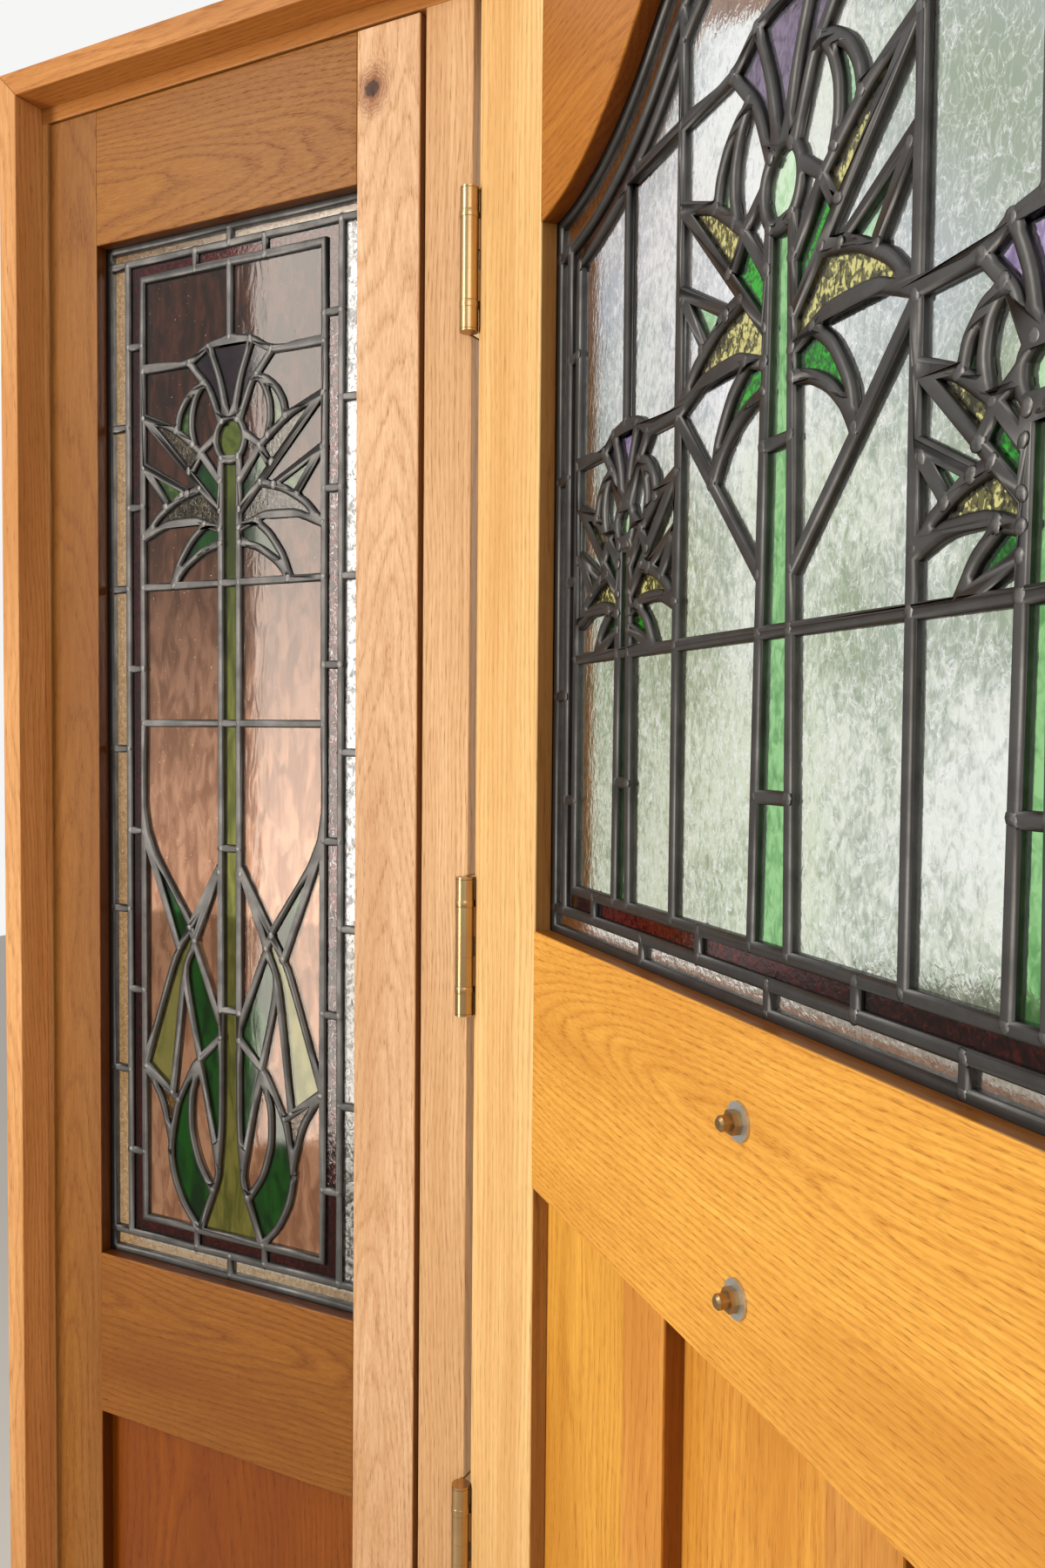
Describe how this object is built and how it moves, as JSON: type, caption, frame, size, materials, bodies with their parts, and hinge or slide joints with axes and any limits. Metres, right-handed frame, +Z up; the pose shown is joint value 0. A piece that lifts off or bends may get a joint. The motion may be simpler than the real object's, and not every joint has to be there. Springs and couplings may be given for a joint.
{
  "type": "front door",
  "caption": "Panelled timber front door standing part open in its frame, with an arched leaded light, a fixed leaded sidelight beside it, butt hinges and a sill.",
  "frame": {"origin": "underside of the sill, on the hinge line's plane, at the frame's room face", "axes": "+X to the right and +Y out of the house, both as seen from the room, +Z up"},
  "size_m": [1.2833, 0.6696, 2.072],
  "materials": {
    "frame_wood": "satin varnish",
    "lining_wood": "satin varnish",
    "sash_wood": "satin varnish",
    "door_wood": "satin varnish",
    "hinge_brass": "polished, a little aged",
    "stud_brass": "satin",
    "washer_steel": "zinc plated",
    "lead": "dull lead",
    "glass": "textured",
    "seal": "matt"
  },
  "bodies": {
    "frame": {"jamb_left": "frame_wood", "jamb_right": "frame_wood", "mullion": "frame_wood", "frame_head": "frame_wood", "sill": "frame_wood", "lining_left": "lining_wood", "lining_right": "lining_wood", "lining_head": "lining_wood", "sash_stile_left": "sash_wood", "sash_stile_right": "sash_wood", "sash_rail_bottom": "sash_wood", "sash_rail_mid": "sash_wood", "sash_rail_top": "sash_wood", "sash_panel": "sash_wood", "sash_beads": "sash_wood", "sash_lead": "lead", "sash_glass": "glass", "weather_seal": "seal", "hinges_frame": "hinge_brass"},
    "leaf": {"door_stile_hinge": "door_wood", "door_stile_latch": "door_wood", "door_rail_bottom": "door_wood", "door_rail_mid": "door_wood", "door_rail_top": "door_wood", "door_muntin_left": "door_wood", "door_muntin_right": "door_wood", "door_panel_left": "door_wood", "door_panel_middle": "door_wood", "door_panel_right": "door_wood", "door_beads": "door_wood", "door_lead": "lead", "door_glass": "glass", "studs": "stud_brass", "stud_nuts": "stud_brass", "stud_washers": "washer_steel", "outside_bosses": "stud_brass", "hinges_door": "hinge_brass"}
  },
  "joints": [
    {"name": "leaf_hinge", "type": "hinge", "parent": "frame", "child": "leaf", "pos_m": [0, -0.007, 0], "axis": [0, 0, -1], "range_deg": [-42.7, 62.3]}
  ]
}
